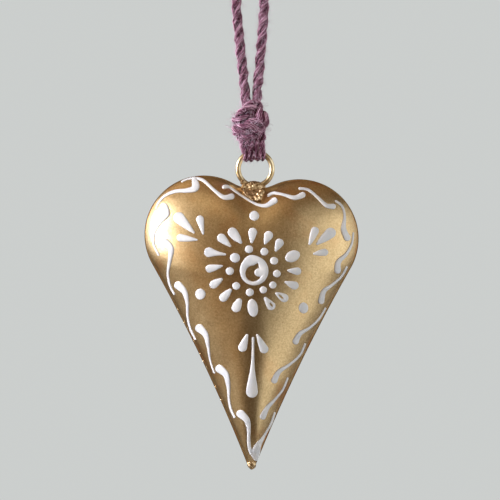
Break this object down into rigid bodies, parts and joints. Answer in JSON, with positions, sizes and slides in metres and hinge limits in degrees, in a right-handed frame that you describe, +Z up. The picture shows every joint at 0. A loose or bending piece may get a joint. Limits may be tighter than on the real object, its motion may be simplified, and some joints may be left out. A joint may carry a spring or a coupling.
{
  "type": "puffed tin heart ornament on a cord",
  "caption": "Hanging puffed heart of pressed tin, gold lacquered, with white raised folk painting, a brass ring brazed in its cleft and a knotted twisted cord loop.",
  "frame": {"origin": "the inner side of the cord loop's upper bend, where a hook bears", "axes": "+Z up along the hanging line, the painted front faces -Y, +X to the viewer's right"},
  "size_m": [0.08, 0.0286, 0.1875],
  "materials": {
    "gold_tin": "tinplate under satin antique gold lacquer, finely speckled, darker in the hollows",
    "rim_braze": "thin uneven braze line, lacquered with the shells",
    "tip_braze": "rough granular braze",
    "ring_brass": "drawn brass wire, worn bright",
    "ring_braze": "crusty braze with bright beads",
    "cord": "three-ply twisted mauve cord with loose fibres",
    "white_paint": "thick white paint piped in relief, satin gloss"
  },
  "bodies": {
    "loop": {"cord_loop": "cord"},
    "knot": {"cord_knot": "cord", "knot_core": "cord"},
    "bights": {"bight_left": "cord", "bight_right": "cord"},
    "heart": {"front_shell": "gold_tin", "back_shell": "gold_tin", "rim_seam": "rim_braze", "tip_braze": "tip_braze", "hanging_ring": "ring_brass", "ring_braze": "ring_braze", "front_flower_eye": "white_paint", "front_inner_dots": "white_paint", "front_petals": "white_paint", "front_sprigs": "white_paint", "front_pendant_drops": "white_paint", "front_single_dots": "white_paint", "front_top_scrolls": "white_paint", "front_left_scrolls": "white_paint", "front_right_scrolls": "white_paint", "back_flower_eye": "white_paint", "back_inner_dots": "white_paint", "back_petals": "white_paint", "back_sprigs": "white_paint", "back_pendant_drops": "white_paint", "back_single_dots": "white_paint", "back_top_scrolls": "white_paint", "back_left_scrolls": "white_paint", "back_right_scrolls": "white_paint"}
  },
  "joints": [
    {"name": "knot_twist", "type": "hinge", "parent": "loop", "child": "knot", "pos_m": [0.0005, 0, -0.0467], "axis": [0, 0, 1], "range_deg": [-180, 180]},
    {"name": "neck_nod", "type": "hinge", "parent": "knot", "child": "bights", "pos_m": [0.0019, 0, -0.062], "axis": [1, 0, 0], "range_deg": [-45, 45]},
    {"name": "ring_rock", "type": "hinge", "parent": "bights", "child": "heart", "pos_m": [0.0019, 0, -0.0718], "axis": [0, 1, 0], "range_deg": [-45, 45]}
  ]
}
